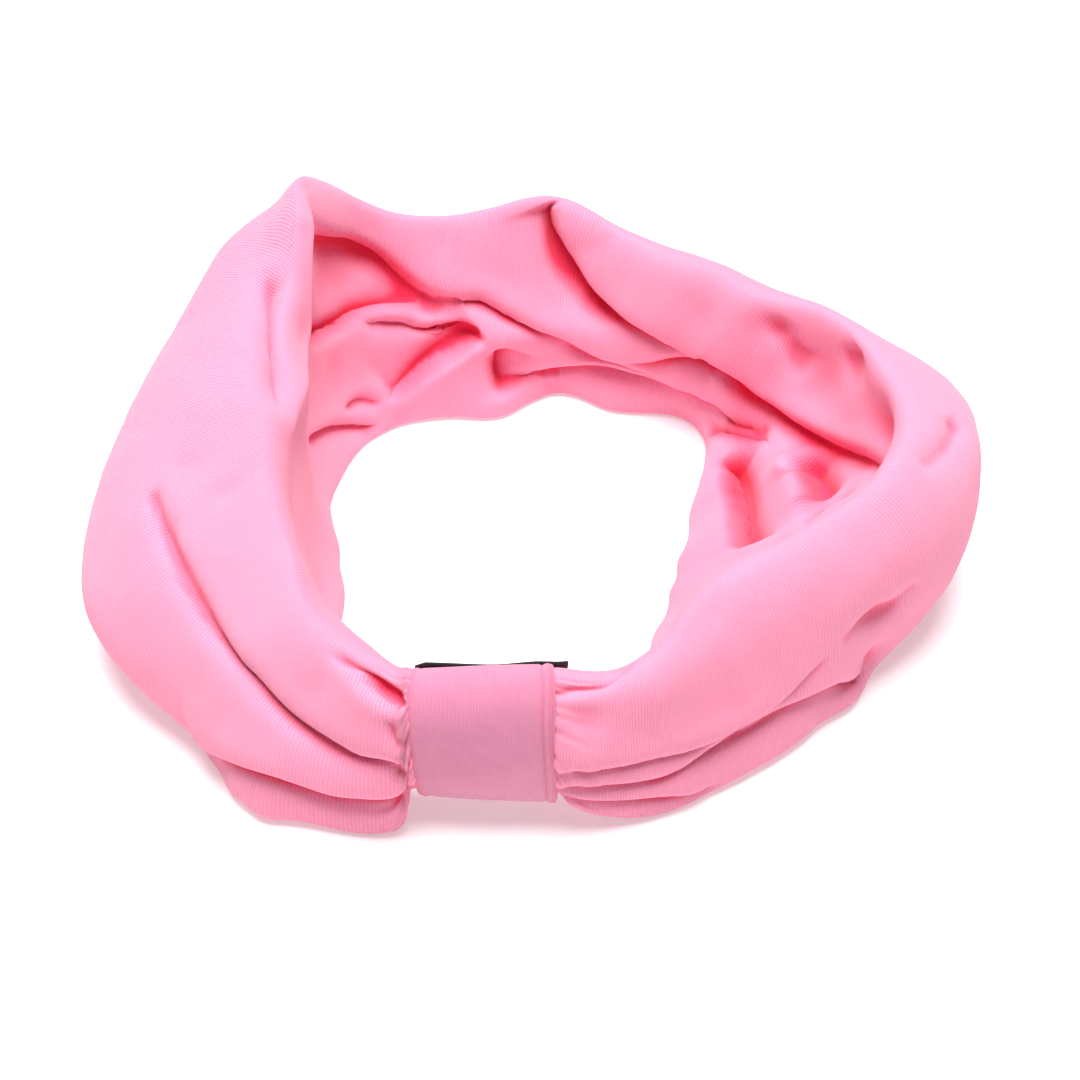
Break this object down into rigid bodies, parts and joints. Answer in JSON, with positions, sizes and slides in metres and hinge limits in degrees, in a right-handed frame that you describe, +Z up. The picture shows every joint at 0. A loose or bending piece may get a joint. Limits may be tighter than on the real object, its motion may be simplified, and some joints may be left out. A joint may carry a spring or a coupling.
{
  "type": "gathered jersey headband",
  "caption": "Wide double-layer jersey headband gathered at the front through a narrow knit ring, with a plain woven tape on the head side.",
  "frame": {"origin": "bottom centre of the whole headband as it lies on a table", "axes": "+X side to side, the long way of the loop; +Y from the gathered front to the rear of the band; +Z up, along the axis of the head opening"},
  "size_m": [0.2139, 0.1731, 0.0672],
  "materials": {
    "jersey": "soft matt single jersey",
    "wrap_knit": "soft matt fine knit",
    "tape": "plain woven tape, slight sheen",
    "thread": "matt spun thread",
    "dark_thread": "matt spun thread"
  },
  "bodies": {
    "front": {"band_front_left": "jersey", "band_front_right": "jersey", "front_gather": "jersey", "gathering_thread": "thread"},
    "rear": {"band_rear": "jersey"},
    "wrap": {"centre_wrap": "wrap_knit", "wrap_closing_thread": "thread", "inner_tape": "tape", "tape_thread_left": "dark_thread", "tape_thread_right": "dark_thread"}
  },
  "joints": [
    {"name": "band_stretch", "type": "slide", "parent": "front", "child": "rear", "axis": [0, 1, 0], "range_m": [0, 0.04], "stiffness_N_per_m": 140},
    {"name": "wrap_slide", "type": "slide", "parent": "front", "child": "wrap", "axis": [1, 0, 0], "range_m": [-0.0015, 0.0015]}
  ]
}
